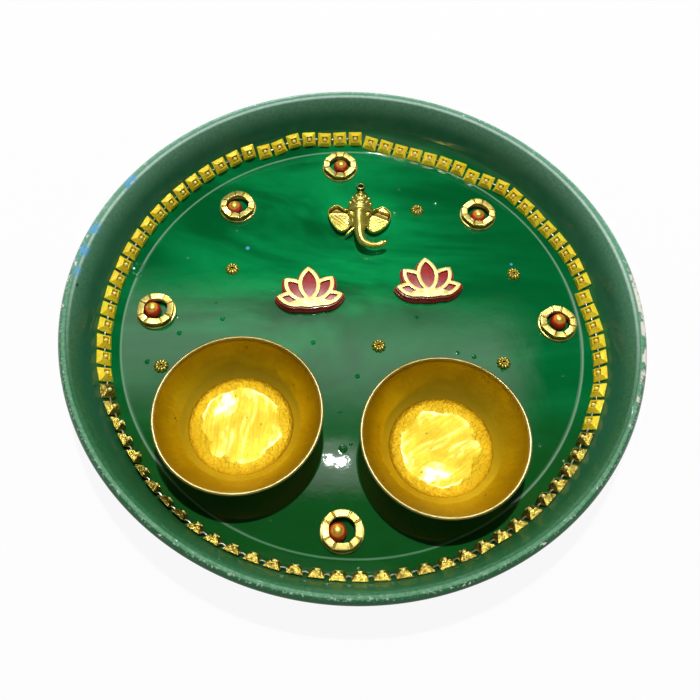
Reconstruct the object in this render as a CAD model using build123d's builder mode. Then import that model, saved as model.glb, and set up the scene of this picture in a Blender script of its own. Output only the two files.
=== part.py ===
from build123d import *
from math import asin, cos, degrees, radians, sin, sqrt
import os

os.makedirs("parts", exist_ok=True)

# Plate: a pressed round tray with a flat floor, a rounded cove, a flared wall and a rolled rim
plate_radius = 100.0
plate_height = 19.8
sheet = 1.0
cove_radius = 9.5
wall_slope = 68.0
rim_bead_radius = 2.1

# Loose brass bowls that stand on the plate's floor; their places, as all places on the floor but
# the settings', are shares of the floor's radius to the right and towards the back
bowl_rim_radius = 27.75
bowl_height = 14.1
bowl_rim_wall = 1.0
bowl_bottom = 0.9
bowl_kick = 0.7
bowl_inside_radius = 17.6
bowl_foot_wall = 0.4
bowl_foot_width = 3.3
bowl_corner = 2.5
bowl_bow_depth = 0.7
bowl_places = {"left_bowl": (-0.429, -0.515), "right_bowl": (0.387, -0.545)}

# Chain: square cups with a domed stud each, joined by short wires and glued along the cove
cup_base = 5.4
cup_top = 3.4
cup_height = 1.9
cup_lip = 0.35
cup_recess_depth = 0.7
cup_gap = 0.95
stud_radius = 0.95
wire_radius = 0.28
wire_level = 0.5
wire_gap = 0.12
seat_gap = 0.08

# Each glued length of chain: the angles where it starts and ends around the plate, and how far up
# the cove's arc it sits, in degrees above the lowest seat, at even stations along it
chain_angles = {
    "right_chain": (14.2, 61.4, (27, 25, 19, 24, 2)),
    "top_right_chain": (61.4, 91.2, (12, 5, 6, 18)),
    "top_left_chain": (91.2, 120.4, (26, 25, 24, 31, 33, 22, 26)),
    "left_chain": (120.4, 221.7, (37, 33, 29, 27, 28, 28)),
    "front_chain": (221.7, 374.2, (33, 49, 42, 47, 37, 33, 30, 14)),
}

# Round settings: a two-layer gilt ring with a red bead and a gilt tip inside it
ring_flange_radius = 7.2
ring_flange_height = 0.9
ring_neck_radius = 6.3
ring_neck_height = 0.8
ring_crown_radius = 7.0
ring_crown_height = 1.2
ring_hole_radius = 4.6
ring_sides = 8
ring_notch_width = 0.7
ring_notch_depth = 0.45
bead_radius = 2.85
bead_centre_height = 0.9
bead_gap = 0.15
tip_radius = 1.3

# Each setting: its angle around the floor, its gap to the floor's edge, its turn, and where the
# bead lies in the ring as a share of its play
ring_places = {
    "top": (98.0, 0.4, 8, (0.25, -0.1)),
    "upper_left": (134.7, 5.2, 14, (-0.7, -0.6)),
    "left": (180.2, 3.0, 3, (-0.75, 0.1)),
    "upper_right": (49.8, 3.7, 20, (0.0, -0.75)),
    "right": (5.2, 0.1, 11, (0.2, 0.5)),
    "bottom": (270.7, 0.1, 17, (-0.9, -0.25)),
}

# Flower studs: small scalloped caps with a pierced middle
flower_petals = 10
flower_radius = 2.65
flower_petal_radius = 0.72
flower_height = 1.3
flower_dome_radius = 3.6
flower_hole_radius = 0.55
flower_places = {
    "upper_left": (-0.576, 0.251),
    "lower_left": (-0.806, -0.266),
    "upper_right": (0.266, 0.670),
    "right": (0.724, 0.337),
    "lower_right": (0.661, -0.131),
    "centre": (0.115, -0.092),
}

# Lotus ornaments: a stepped red body under a gilt outline; each petal's lean, length and width
petal_fan = (
    (76.0, 12.5, 6.2),
    (-76.0, 12.5, 6.2),
    (40.0, 14.0, 7.4),
    (-40.0, 14.0, 7.4),
    (0.0, 15.5, 8.2),
)
petal_stroke = 1.5
leaf_length = 15.0
leaf_width = 4.2
lotus_margin_width = 0.95
lotus_step_width = 0.45
lotus_step_height = 1.3
lotus_face_height = 0.7
lotus_turn = 8.0
lotus_places = {"left": (-0.201, 0.085), "right": (0.332, 0.182)}

# Elephant-head charm, cast in one piece, with its back flat on the floor; its own points are
# measured from the middle of the head
charm_place = (-0.011, 0.586)
head_length = 6.4
head_width = 5.2
head_sink = 0.8
crown_tiers = ((3.7, 5.9), (6.3, 5.0), (9.1, 4.1), (11.7, 3.0), (13.7, 1.9))
crown_step = 0.5
crown_end = 15.1
eye_radius = 0.7
eye_height = 3.4
eye_places = ((-3.4, -0.1), (3.4, -0.1))
bail_place = (-0.4, 16.3)
bail_radius = 1.75
bail_hole_radius = 0.9
bail_height = 1.5
ear_low = 0.9
ear_thickness = 1.5
left_ear = ((-3.3, 2.1), (-6.3, 3.3), (-9.5, 4.9), (-12.5, 2.0), (-11.8, -1.7), (-9.7, -5.5),
            (-6.8, -7.7), (-3.5, -5.7))
right_ear = ((3.3, 2.5), (5.8, 4.0), (9.2, 5.6), (12.3, 2.9), (12.1, -0.8), (10.2, -4.4),
             (6.6, -7.0), (3.1, -5.4))
# Trunk: the middle of each section and its height above the floor, then its radius
trunk_sections = (
    (0.0, 2.3, 3.0, 2.6),
    (0.1, -1.7, 4.2, 2.1),
    (0.3, -6.3, 4.8, 1.8),
    (0.7, -10.3, 4.6, 1.7),
    (2.1, -13.1, 4.1, 1.5),
    (5.1, -14.3, 3.7, 1.25),
    (7.9, -14.0, 3.6, 1.05),
    (9.9, -13.1, 3.8, 0.9),
    (10.6, -12.7, 3.9, 0.5),
)

# Places that follow from the sizes above
rim_bead_centre = Vector(plate_radius - rim_bead_radius, plate_height - rim_bead_radius)
wall_run = Vector(cos(radians(wall_slope)), sin(radians(wall_slope)))
wall_end = rim_bead_centre + Vector(-wall_run.Y, wall_run.X) * rim_bead_radius
cove_end_height = sheet + cove_radius * (1 - cos(radians(wall_slope)))
wall_length = (wall_end.Y - cove_end_height) / wall_run.Y
floor_radius = wall_end.X - wall_length * wall_run.X - cove_radius * wall_run.Y


def floor_plane(place=(0, 0), height=0.0, turn=0.0):
    """Level plane above a place on the floor."""
    spot = Vector(*place) * floor_radius + Vector(0, 0, sheet + height)
    return Plane(spot).rotated((0, 0, turn))


def save(piece, label):
    piece.part.label = label
    export_step(piece.part, f"parts/{label}.step")


# Plate
with BuildPart() as plate:
    with BuildSketch(Plane.XZ):
        with BuildLine():
            underside = Line((0, 0), (floor_radius, 0))
            outer_cove = JernArc(underside @ 1, (1, 0), cove_radius + sheet, wall_slope)
            outer_wall = Line(outer_cove @ 1, outer_cove @ 1 + outer_cove % 1 * wall_length)
            floor_line = Line((0, sheet), (floor_radius, sheet))
            inner_cove = JernArc(floor_line @ 1, (1, 0), cove_radius, wall_slope)
            inner_wall = Line(inner_cove @ 1, inner_cove @ 1 + inner_cove % 1 * wall_length)
            Line(inner_wall @ 1, outer_wall @ 1)
            Line(floor_line @ 0, underside @ 0)
        make_face()
        with Locations(rim_bead_centre):
            Circle(rim_bead_radius)
    revolve(axis=Axis.Z)
save(plate, "plate")

# Bowls
bowl_shoulder = bowl_height - bowl_rim_wall / 2
inside_floor = bowl_kick + bowl_bottom
foot_radius = bowl_inside_radius + bowl_foot_wall
kick_radius = foot_radius - bowl_foot_width
inner_corner = Vector(bowl_inside_radius, inside_floor)
outer_corner = Vector(foot_radius, 0)
inner_rim = Vector(bowl_rim_radius - bowl_rim_wall, bowl_shoulder)
outer_rim = Vector(bowl_rim_radius, bowl_shoulder)
rim_crest = Vector(bowl_rim_radius - bowl_rim_wall / 2, bowl_height)


def bowed_middle(low, high):
    """Middle of a bowl's wall line, bowed outward from its chord."""
    chord = high - low
    return low + chord * 0.5 + Vector(chord.Y, -chord.X).normalized() * bowl_bow_depth


for bowl_name, bowl_place in bowl_places.items():
    bowl_axis = Axis(floor_plane(bowl_place).origin, (0, 0, 1))
    with BuildPart() as bowl:
        with BuildSketch(Plane(bowl_axis.position, (1, 0, 0), (0, -1, 0))) as section:
            with BuildLine():
                Polyline(
                    inner_corner,
                    (0, inside_floor),
                    (0, bowl_kick),
                    (kick_radius - bowl_kick, bowl_kick),
                    (kick_radius, 0),
                    outer_corner,
                )
                ThreePointArc(outer_corner, bowed_middle(outer_corner, outer_rim), outer_rim)
                ThreePointArc(outer_rim, rim_crest, inner_rim)
                ThreePointArc(inner_rim, bowed_middle(inner_corner, inner_rim), inner_corner)
            make_face()
            fillet(section.vertices().sort_by_distance(inner_corner)[0], bowl_corner)
        revolve(axis=bowl_axis)
    save(bowl, bowl_name)

# Chain
seat_reach = sqrt(cove_radius**2 - (cup_base / 2) ** 2) - seat_gap
lowest_seat = degrees(asin(cup_base / 2 / cove_radius))
chain_reach = floor_radius + cup_base
cup_recess = cup_top - 2 * cup_lip
stud_level = cup_height - cup_recess_depth
cup_half_at_wire = (cup_base - (cup_base - cup_top) * wire_level / cup_height) / 2


def chain_rise(stations, share):
    """How far up the arc the chain sits at a share of its length."""
    place = share * (len(stations) - 1)
    before = min(int(place), len(stations) - 2)
    return stations[before] + (stations[before + 1] - stations[before]) * (place - before)


def cup_spot(angle, rise):
    """Middle of a cup's base and the direction that it faces."""
    slope = radians(lowest_seat + rise)
    outward = Vector(cos(radians(angle)), sin(radians(angle)), 0)
    cove_centre = outward * floor_radius + Vector(0, 0, sheet + cove_radius)
    facing = Vector(0, 0, cos(slope)) - outward * sin(slope)
    return cove_centre - facing * seat_reach, facing


def chain_seats(start, end, stations):
    """One plane for each cup, its x axis along the chain and its z axis off the cove."""
    count = int(radians(end - start) * chain_reach / (cup_base + cup_gap))
    shares = [(number + 0.5) / count for number in range(count)]
    spots = [cup_spot(start + (end - start) * share, chain_rise(stations, share)) for share in shares]
    seats = []
    for number, (middle, facing) in enumerate(spots):
        along = spots[min(number + 1, count - 1)][0] - spots[max(number - 1, 0)][0]
        seats.append(Plane(middle, along - facing * along.dot(facing), facing))
    return seats


with BuildPart() as cup_pattern:
    with BuildSketch():
        Rectangle(cup_base, cup_base)
    with BuildSketch(Plane.XY.offset(cup_height)):
        Rectangle(cup_top, cup_top)
    loft(ruled=True)
    with BuildSketch(Plane.XY.offset(cup_height)):
        Rectangle(cup_recess, cup_recess)
    extrude(amount=-cup_recess_depth, mode=Mode.SUBTRACT)

with BuildPart() as stud_pattern:
    with Locations((0, 0, stud_level)):
        Sphere(stud_radius)
    split(bisect_by=Plane.XY.offset(stud_level), keep=Keep.TOP)

for chain_name, angles_and_rises in chain_angles.items():
    seats = chain_seats(*angles_and_rises)
    with BuildPart() as cups:
        with Locations(*seats):
            add(cup_pattern.part)
    save(cups, f"{chain_name}_cups")

    with BuildPart() as studs:
        with Locations(*seats):
            add(stud_pattern.part)
    save(studs, f"{chain_name}_studs")

    with BuildPart() as wires:
        for seat, next_seat in zip(seats, seats[1:]):
            start = seat.from_local_coords((cup_half_at_wire, 0, wire_level))
            run = next_seat.from_local_coords((-cup_half_at_wire, 0, wire_level)) - start
            with BuildSketch(Plane(start + run.normalized() * wire_gap, z_dir=run)):
                Circle(wire_radius)
            extrude(amount=run.length - 2 * wire_gap)
    save(wires, f"{chain_name}_wires")

# Round settings
ring_crown_level = ring_flange_height + ring_neck_height
ring_top = ring_crown_level + ring_crown_height
bead_play = ring_hole_radius - bead_radius - bead_gap
tip_level = bead_centre_height + sqrt(bead_radius**2 - tip_radius**2)

for place, (angle, edge_gap, turn, (bead_x, bead_y)) in ring_places.items():
    ring_reach = floor_radius - ring_flange_radius - edge_gap
    ring_spot = Vector(ring_reach * cos(radians(angle)), ring_reach * sin(radians(angle)), sheet)
    ring_plane = Plane(ring_spot).rotated((0, 0, turn))
    with BuildPart() as ring:
        with BuildSketch(ring_plane):
            Circle(ring_flange_radius)
        extrude(amount=ring_flange_height)
        with BuildSketch(ring_plane.offset(ring_flange_height)):
            Circle(ring_neck_radius)
        extrude(amount=ring_neck_height)
        with BuildSketch(ring_plane.offset(ring_crown_level)):
            RegularPolygon(ring_crown_radius, ring_sides)
        extrude(amount=ring_crown_height)
        with BuildSketch(ring_plane.offset(ring_top)):
            with PolarLocations((ring_hole_radius + ring_crown_radius) / 2, ring_sides):
                Rectangle(ring_crown_radius, ring_notch_width)
        extrude(amount=-ring_notch_depth, mode=Mode.SUBTRACT)
        with BuildSketch(ring_plane):
            Circle(ring_hole_radius)
        extrude(amount=ring_top, mode=Mode.SUBTRACT)
    save(ring, f"{place}_ring")

    bead_plane = Plane(ring_spot + Vector(bead_x, bead_y) * bead_play)
    tip_plane = bead_plane.offset(tip_level)
    with BuildPart() as bead:
        with Locations(bead_plane.offset(bead_centre_height)):
            Sphere(bead_radius)
        split(bisect_by=bead_plane, keep=Keep.TOP)
        split(bisect_by=tip_plane, keep=Keep.BOTTOM)
    save(bead, f"{place}_bead")

    with BuildPart() as tip:
        with Locations(tip_plane):
            Sphere(tip_radius)
        split(bisect_by=tip_plane, keep=Keep.TOP)
    save(tip, f"{place}_bead_tip")

# Flower studs
petal_ring = flower_radius - flower_petal_radius

for place, flower_place in flower_places.items():
    with BuildPart() as flower:
        with BuildSketch(floor_plane(flower_place)):
            Circle(petal_ring)
            with PolarLocations(petal_ring, flower_petals):
                Circle(flower_petal_radius)
            Circle(flower_hole_radius, mode=Mode.SUBTRACT)
        extrude(amount=flower_height)
        with Locations(floor_plane(flower_place, flower_height - flower_dome_radius)):
            Sphere(flower_dome_radius, mode=Mode.INTERSECT)
    save(flower, f"{place}_flower")


# Lotus ornaments
def petal(length, width):
    """Pointed petal with its foot at the origin."""
    with BuildSketch() as shape:
        with BuildLine():
            ThreePointArc((0, 0), (width / 2, length / 2), (0, length))
            ThreePointArc((0, length), (-width / 2, length / 2), (0, 0))
        make_face()
    return shape.sketch


def petal_outline(length, width):
    """The same petal as a stroke along its edge."""
    with BuildSketch() as shape:
        add(petal(length, width))
        offset(amount=-petal_stroke, mode=Mode.SUBTRACT)
    return shape.sketch


with BuildSketch() as leaf:
    with Locations((leaf_length / 2, 0)):
        add(petal(leaf_length, leaf_width), rotation=90)

with BuildSketch() as silhouette:
    for lean, length, width in petal_fan:
        add(petal(length, width), rotation=lean)
    add(leaf.sketch)

with BuildSketch() as gilding:
    for order, (lean, length, width) in enumerate(petal_fan):
        if order:
            add(petal(length, width), rotation=lean, mode=Mode.SUBTRACT)
        add(petal_outline(length, width), rotation=lean)
    add(leaf.sketch)

for side, lotus_place in lotus_places.items():
    with BuildPart() as body:
        for level, margin in enumerate((lotus_margin_width, lotus_margin_width - lotus_step_width)):
            with BuildSketch(floor_plane(lotus_place, level * lotus_step_height, lotus_turn)):
                add(silhouette.sketch)
                offset(amount=margin)
            extrude(amount=lotus_step_height)
    save(body, f"{side}_lotus_body")

    with BuildPart() as face:
        with BuildSketch(floor_plane(lotus_place, 2 * lotus_step_height, lotus_turn)):
            add(gilding.sketch)
        extrude(amount=lotus_face_height)
    save(face, f"{side}_lotus_face")

# Elephant-head charm
charm_plane = floor_plane(charm_place)
charm_core = charm_plane.offset(-head_sink)
charm_axis = Axis(charm_core.origin, (0, 1, 0))
crown_outline = [(0, crown_tiers[0][0]), (crown_tiers[0][1], crown_tiers[0][0])]
for tier_y, tier_radius in crown_tiers[1:]:
    crown_outline.append((tier_radius + crown_step, tier_y))
    crown_outline.append((tier_radius, tier_y))
crown_outline.append((bail_hole_radius, crown_end))
crown_outline.append((0, crown_end))
trunk_points = [charm_plane.from_local_coords(section[:3]) for section in trunk_sections]
trunk_radii = [section[3] for section in trunk_sections]

with BuildPart() as charm:
    with BuildSketch(charm_core):
        Ellipse(head_width, head_length)
        Rectangle(head_width, 2 * head_length, align=(Align.MAX, Align.CENTER), mode=Mode.SUBTRACT)
    revolve(axis=charm_axis)
    with BuildSketch(charm_core):
        with BuildLine():
            Polyline(*crown_outline, close=True)
        make_face()
    revolve(axis=charm_axis)
    for ear in (left_ear, right_ear):
        with BuildSketch(charm_plane.offset(ear_low)):
            with BuildLine():
                Spline(*ear, periodic=True)
            make_face()
        extrude(amount=ear_thickness)
    with Locations(charm_plane.offset(eye_height)):
        with Locations(*eye_places):
            Sphere(eye_radius)
    with BuildSketch(charm_plane):
        with Locations(bail_place):
            Circle(bail_radius)
    extrude(amount=bail_height)
    split(bisect_by=charm_plane, keep=Keep.TOP)
    with BuildLine():
        trunk_line = Spline(*trunk_points)
    for point, radius in zip(trunk_points, trunk_radii):
        along = trunk_line.tangent_at(trunk_line.param_at_point(point))
        with BuildSketch(Plane(point, z_dir=along)):
            Circle(radius)
    sweep(multisection=True)
    with BuildSketch(charm_plane):
        with Locations(bail_place):
            Circle(bail_hole_radius)
    extrude(amount=bail_height, mode=Mode.SUBTRACT)
save(charm, "elephant_charm")
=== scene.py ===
import math
import random

import bmesh
import bpy
from mathutils import Matrix, Vector

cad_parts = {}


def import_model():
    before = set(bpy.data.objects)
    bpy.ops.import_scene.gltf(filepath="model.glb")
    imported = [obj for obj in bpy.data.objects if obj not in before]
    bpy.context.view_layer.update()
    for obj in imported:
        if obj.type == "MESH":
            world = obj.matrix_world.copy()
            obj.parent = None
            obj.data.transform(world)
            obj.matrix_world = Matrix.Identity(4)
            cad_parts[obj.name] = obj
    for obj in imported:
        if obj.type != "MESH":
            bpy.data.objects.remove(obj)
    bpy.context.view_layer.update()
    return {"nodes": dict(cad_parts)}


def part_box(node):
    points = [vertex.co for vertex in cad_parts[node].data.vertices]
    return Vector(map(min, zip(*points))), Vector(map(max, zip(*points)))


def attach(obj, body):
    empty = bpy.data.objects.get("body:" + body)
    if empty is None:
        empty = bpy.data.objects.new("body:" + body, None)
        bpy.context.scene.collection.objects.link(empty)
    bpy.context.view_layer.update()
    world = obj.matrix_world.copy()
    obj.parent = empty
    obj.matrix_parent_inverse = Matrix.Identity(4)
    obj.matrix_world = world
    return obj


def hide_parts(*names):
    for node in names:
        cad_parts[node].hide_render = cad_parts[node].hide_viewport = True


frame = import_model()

nodes = frame["nodes"]
scene = bpy.context.scene
MM = 0.001
TRAY = "tray"

# Sizes of the tray in millimetres, as in the part's source
FLOOR_TOP = 1.0
FLOOR_RADIUS = 82.47
COVE_RADIUS = 9.5
WALL_SLOPE = 68.0
SHEET = 1.0
RIM_CENTRE = (97.8, 17.7)
RIM_RADIUS = 2.1


# ---- mesh helpers ----
def piece(name, shells, material, replaced, body=TRAY, origin=(0, 0, 0), turn=0.0, sharp=38.0):
    """A smooth-shaded mesh in the row frame that stands for CAD nodes.

    Each shell is its points, in millimetres from origin, and its faces.
    """
    verts, faces = [], []
    for points, sides in shells:
        faces += [[len(verts) + i for i in side] for side in sides]
        verts += points
    mesh = bpy.data.meshes.new(name)
    mesh.from_pydata([Vector(v) * MM for v in verts], [], faces)
    mesh.validate()
    work = bmesh.new()
    work.from_mesh(mesh)
    bmesh.ops.recalc_face_normals(work, faces=work.faces)
    work.to_mesh(mesh)
    work.free()
    mesh.polygons.foreach_set("use_smooth", [True] * len(mesh.polygons))
    mesh.set_sharp_from_angle(angle=math.radians(sharp))
    obj = bpy.data.objects.new(name, mesh)
    scene.collection.objects.link(obj)
    obj.location = Vector(origin) * MM
    obj.rotation_euler.z = math.radians(turn)
    mesh.materials.append(material)
    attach(obj, body)
    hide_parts(*replaced)
    return obj


def base_of(node):
    """Middle of the bottom of a CAD node's box, in millimetres."""
    low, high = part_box(node)
    return (low.x + high.x) / 2 / MM, (low.y + high.y) / 2 / MM, low.z / MM


def skin(loops, closed=False):
    """A shell over loops of equal count, with capped ends or closed on itself. A loop of one point is a tip."""
    points, faces, rows = [], [], []
    for loop in loops:
        rows.append(list(range(len(points), len(points) + len(loop))))
        points.extend(loop)
    pairs = list(zip(rows, rows[1:]))
    if closed:
        pairs.append((rows[-1], rows[0]))
    for low, high in pairs:
        count = max(len(low), len(high))
        for i in range(count):
            j = (i + 1) % count
            if len(low) == 1:
                faces.append((low[0], high[j], high[i]))
            elif len(high) == 1:
                faces.append((low[i], low[j], high[0]))
            else:
                faces.append((low[i], low[j], high[j], high[i]))
    if not closed:
        faces += [row for row in (rows[0][::-1], rows[-1]) if len(row) > 2]
    return points, faces


def turns(count):
    """Even angles round a full turn."""
    return [2 * math.pi * i / count for i in range(count)]


def circle(radius, height, count, shape=None):
    """A level loop round the origin. shape(angle) gives a factor on the radius and a rise."""
    if radius < 1e-6:
        return [(0, 0, height)]
    loop = []
    for angle in turns(count):
        factor, rise = shape(angle) if shape else (1, 0)
        loop.append((radius * factor * math.cos(angle), radius * factor * math.sin(angle), height + rise))
    return loop


def hoop(middle, side, up, radius, count):
    """A round loop in the plane of two directions."""
    return [tuple(middle + (side * math.cos(a) + up * math.sin(a)) * radius) for a in turns(count)]


def arc(centre, radius, start, end, count):
    """Points on an arc, angles in degrees."""
    out = []
    for i in range(count + 1):
        angle = math.radians(start + (end - start) * i / count)
        out.append((centre[0] + radius * math.cos(angle), centre[1] + radius * math.sin(angle)))
    return out


def line(start, end, count):
    """Points from start to end, both left out."""
    return [tuple(a + (b - a) * i / count for a, b in zip(start, end)) for i in range(1, count)]


def placed(loops, matrix):
    """A shell over loops that a matrix moves."""
    return skin([[tuple(matrix @ Vector(p)) for p in loop] for loop in loops])


def smooth_step(low, high, value):
    t = min(1.0, max(0.0, (value - low) / (high - low)))
    return t * t * (3 - 2 * t)


# ---- node helpers ----
class Nodes:
    """A node tree, with short ways to add its nodes."""

    def __init__(self, tree):
        self.tree = tree

    def feed(self, socket, value):
        if isinstance(value, bpy.types.NodeSocket):
            self.tree.links.new(value, socket)
        else:
            socket.default_value = value

    def add(self, kind, sockets=None, **settings):
        """A node with values or links for some of its sockets, by name or number."""
        node = self.tree.nodes.new(kind)
        for key, value in settings.items():
            setattr(node, key, value)
        for key, value in (sockets or {}).items():
            self.feed(node.inputs[key], value)
        return node

    def math(self, operation, a, b=0.0, clamp=False):
        return self.add("ShaderNodeMath", {0: a, 1: b}, operation=operation, use_clamp=clamp).outputs[0]

    def times(self, a, b):
        return self.math("MULTIPLY", a, b)

    def larger(self, a, b):
        return self.math("MAXIMUM", a, b)

    def rest(self, value):
        """What is left of 1."""
        return self.math("SUBTRACT", 1.0, value)

    def step(self, value, low, high):
        """0 below low, 1 above high, smooth between; with low above high it falls instead."""
        ends = (low, high, 0.0, 1.0) if low < high else (high, low, 1.0, 0.0)
        sockets = dict(zip(("Value", "From Min", "From Max", "To Min", "To Max"), (value, *ends)))
        return self.add("ShaderNodeMapRange", sockets, interpolation_type="SMOOTHSTEP").outputs["Result"]

    def band(self, value, rise, fall):
        """1 between two soft edges, each as for step."""
        return self.times(self.step(value, *rise), self.step(value, *fall))

    def parts(self, vector):
        return self.add("ShaderNodeSeparateXYZ", {0: vector}).outputs


class Look(Nodes):
    """A node material round one Principled shader."""

    def __init__(self, name, **sockets):
        self.material = bpy.data.materials.new(name)
        self.material.use_nodes = True
        super().__init__(self.material.node_tree)
        self.shader = self.tree.nodes["Principled BSDF"]
        self.coords = self.add("ShaderNodeTexCoord").outputs["Object"]
        for socket, value in sockets.items():
            self.to(socket.replace("_", " "), value)

    def to(self, name, value):
        self.feed(self.shader.inputs[name], value)

    def place(self, scale=(1, 1, 1), turn=(0, 0, 0)):
        """The place on the object, turned and scaled."""
        sockets = {"Vector": self.coords, "Scale": scale, "Rotation": turn}
        return self.add("ShaderNodeMapping", sockets).outputs[0]

    def axes(self):
        """The place on the object as x, y and z, in metres."""
        return self.parts(self.coords)

    def noise(self, scale, detail, rough, distort=0.0, coords=None):
        sockets = {"Vector": coords or self.coords, "Scale": scale, "Detail": detail, "Roughness": rough,
                   "Distortion": distort}
        return self.add("ShaderNodeTexNoise", sockets).outputs["Fac"]

    def sown(self, scale, size, channel, chosen):
        """1 in dots amid some cells: size is a step over the distance, chosen one over a random number."""
        cells = self.add("ShaderNodeTexVoronoi", {"Vector": self.coords, "Scale": scale})
        dot = self.step(cells.outputs["Distance"], *size)
        return self.times(dot, self.step(self.parts(cells.outputs["Color"])[channel], *chosen))

    def ramp(self, value, *stops):
        """Colours or grey levels along a value."""
        node = self.add("ShaderNodeValToRGB", {"Fac": value})
        elements = node.color_ramp.elements
        while len(elements) < len(stops):
            elements.new(0.5)
        for element, (place, colour) in zip(elements, stops):
            element.position = place
            element.color = (*colour, 1) if isinstance(colour, tuple) else (colour, colour, colour, 1)
        return node.outputs["Color"]

    def mix(self, factor, a, b, share=1.0):
        """From a to the share of b, along a factor."""
        part = self.times(factor, share) if share < 1 else factor
        node = self.add("ShaderNodeMix", {"Factor": part}, data_type="RGBA")
        for name, value in (("A", a), ("B", b)):
            socket = next(s for s in node.inputs if s.name == name and s.type == "RGBA")
            self.feed(socket, (*value, 1) if isinstance(value, tuple) else value)
        return next(s for s in node.outputs if s.type == "RGBA")

    def distance(self, x=0.0, y=0.0):
        """Distance in plan from an upright axis at x, y millimetres."""
        here_x, here_y, _ = self.axes()
        dx, dy = self.math("SUBTRACT", here_x, x * MM), self.math("SUBTRACT", here_y, y * MM)
        return self.math("SQRT", self.math("ADD", self.times(dx, dx), self.times(dy, dy)))

    def near(self, x, y, radius, soft=0.3):
        """1 inside a circle in plan, in millimetres, soft at its edge."""
        return self.step(self.distance(x, y), radius * MM * (1 + soft), radius * MM * (1 - soft))

    def bump(self, height, depth, under=None):
        """Bump whose height of 1 stands depth millimetres proud."""
        sockets = {"Strength": 1.0, "Distance": depth * MM, "Height": height}
        if under:
            sockets["Normal"] = under
        return self.add("ShaderNodeBump", sockets).outputs[0]


# ---- enamel ----
# Rings on the tray, in metres from its axis: each is where it rises and where it falls away
FLOOR_BEND = ((0.0821, 0.0825), (0.0854, 0.0842))
BEND_HIGHLIGHT = ((0.0832, 0.0835), (0.0842, 0.0838))
BLUE_RING = ((0.0955, 0.0962), (0.0988, 0.0980))
FAR_CREST_HIGHLIGHT = ((0.0960, 0.0964), (0.0971, 0.0967))
NEAR_CREST_HIGHLIGHT = ((0.0970, 0.0976), (0.0987, 0.0982))
CHIPPED_RING = ((0.0974, 0.0979), (0.0996, 0.0992))
CREST_GLINT_RING = ((0.0978, 0.0983), (0.0993, 0.0988))
RIM_OUTSIDE = (0.0998, 0.0990)
# Heights in metres over which the wall's paint and the rim's paint and roughness come in
WALL_FOOT = (0.0035, 0.009)
RIM_FOOT = (0.0105, 0.0190)
ROUGH_FOOT = (0.0120, 0.0175)
# Distances in metres towards the near side over which a tone comes in
SHADED_FRONT_FLOOR = (-0.012, -0.052)
SHADED_NEAR_WALL = (-0.035, -0.078)
NEAR_BEND = (-0.074, -0.080)
FAR_RIM_SHEEN = (-0.045, 0.035)
# Marks as x, y and radius in millimetres
BLUE_PATCHES = ((-96.5, 9, 6.5), (-95.5, 18, 5.5), (-88.5, 44, 4))
BLUE_DOTS = ((-43, 31, 0.75), (59, 32.5, 0.55))
MAIN_DROP = (-0.7, -47.5, 0.85)
SMALL_DROPS = ((-83.2, 17.6, 1.1), (-82.6, 15.4, 0.9), (-82.3, 19.4, 0.8), (1.8, -45.6, 0.4), (44, -9, 0.5))
# The ramp of the varnish takes 20 mm of height as 1
VARNISH_SCALE = 50.0


def floor_paint(look, y, streaks, fine):
    """Streaky green, thinner and lighter at the upper left, and darker and yellower in front of the bowls as
    painted shade and painted warm bounce light.
    """
    paint = look.ramp(streaks, (0.36, (0.0, 0.115, 0.024)), (0.52, (0.0004, 0.155, 0.035)),
                      (0.66, (0.003, 0.21, 0.054)), (0.8, (0.017, 0.28, 0.10)))
    light = look.times(look.near(-16, 38, 46, 0.7), look.step(streaks, 0.36, 0.60))
    paint = look.mix(light, paint, (0.0035, 0.40, 0.10), 0.85)
    # Painted shade and painted warm bounce light from the bowls, on the floor in front of them
    paint = look.mix(look.step(y, *SHADED_FRONT_FLOOR), paint, (0.010, 0.074, 0.006), 0.75)
    return look.mix(fine, paint, (0.0, 0.06, 0.018), 0.35)


def rim_painted_sheen(look, y, reach):
    """Painted sheen on the rolled rim: pale over its far half with a white highlight line painted along the crest,
    and a pale highlight line painted along the crest alone on its near half.
    """
    tone_blend = look.noise(900, 4, 0.6)

    def tone(low, high):
        return look.ramp(tone_blend, (0.35, low), (0.7, high))

    near_rim_highlight = look.mix(look.band(reach, *NEAR_CREST_HIGHLIGHT),
                         tone((0.022, 0.128, 0.046), (0.040, 0.168, 0.068)),
                         tone((0.095, 0.29, 0.145), (0.23, 0.46, 0.28)))
    far_rim_sheen = look.mix(look.band(reach, *FAR_CREST_HIGHLIGHT),
                        tone((0.115, 0.32, 0.19), (0.18, 0.42, 0.27)),
                        tone((0.60, 0.86, 0.72), (0.86, 0.97, 0.91)), 0.8)
    return look.mix(look.step(y, *FAR_RIM_SHEEN), near_rim_highlight, far_rim_sheen)


def blue_paint(look, reach):
    """Where blue paint shows: in patches at the left rim and in two dots."""
    blue = look.near(*BLUE_PATCHES[0], 0.4)
    for patch in BLUE_PATCHES[1:]:
        blue = look.larger(blue, look.near(*patch, 0.4))
    ragged = look.step(look.noise(260, 3, 0.6, 0.0, look.place((0.8, 0.8, 1.4))), 0.49, 0.54)
    blue = look.times(look.times(blue, ragged), look.band(reach, *BLUE_RING))
    for dot in BLUE_DOTS:
        blue = look.larger(blue, look.near(*dot))
    return blue


def chipped(look, reach):
    """Where the rim is chipped down to bare metal, most of it at the right and the left."""
    sides = look.larger(look.near(98, 8, 16, 0.45), look.times(look.near(97, -14, 15, 0.5), 0.55))
    sides = look.larger(sides, look.times(look.near(-97, 12, 15, 0.5), 0.5))
    flaking = look.noise(420, 4, 0.65, 0.4, look.place((0.5, 0.5, 1.3)))
    chance = look.math("ADD", look.times(sides, 0.24), flaking)
    return look.times(look.step(chance, 0.66, 0.68), look.band(reach, *CHIPPED_RING))


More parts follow.
